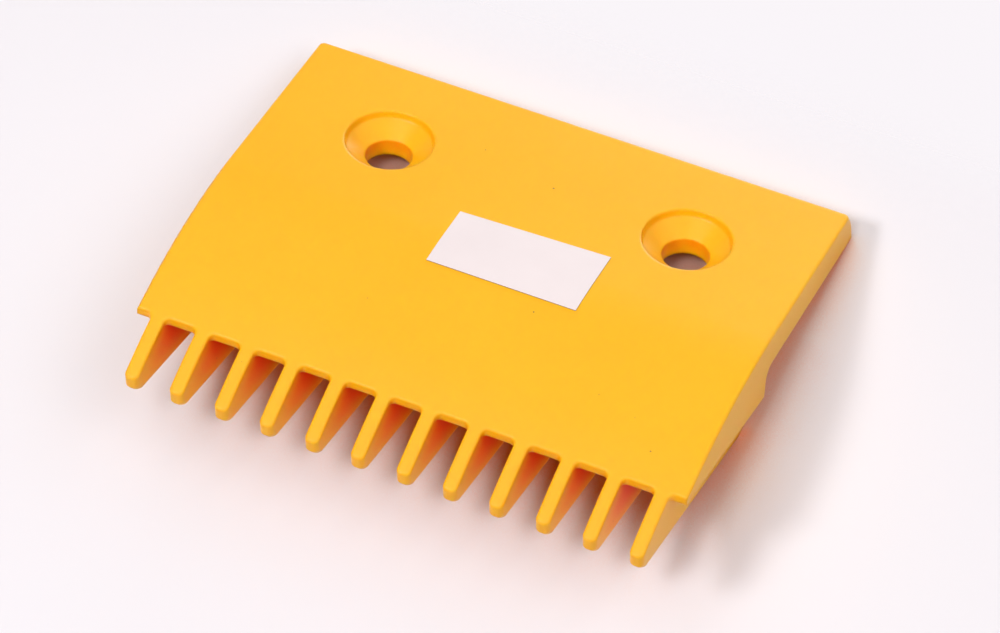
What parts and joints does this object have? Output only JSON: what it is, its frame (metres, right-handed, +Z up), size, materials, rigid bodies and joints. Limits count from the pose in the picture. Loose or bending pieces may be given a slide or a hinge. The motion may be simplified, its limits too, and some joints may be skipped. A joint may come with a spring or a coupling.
{
  "type": "escalator comb plate",
  "caption": "Moulded comb plate that closes the gap between an escalator's floor plate and its grooved steps, with tapered teeth, a curved crown and a flat flange with countersunk screw holes.",
  "frame": {"origin": "midway between the two screw axes, on the underside of the flange that seats on the carrier", "axes": "+X along the row of teeth, +Y from the teeth towards the flange's back edge, +Z up along the screws, out of the crown"},
  "size_m": [0.1088, 0.0903, 0.0228],
  "materials": {
    "yellow_plastic": "satin moulded surface with fine dark specks",
    "label_paper": "plain matt paper"
  },
  "bodies": {
    "root": {"comb_plate": "yellow_plastic", "paper_label": "label_paper"}
  },
  "joints": []
}
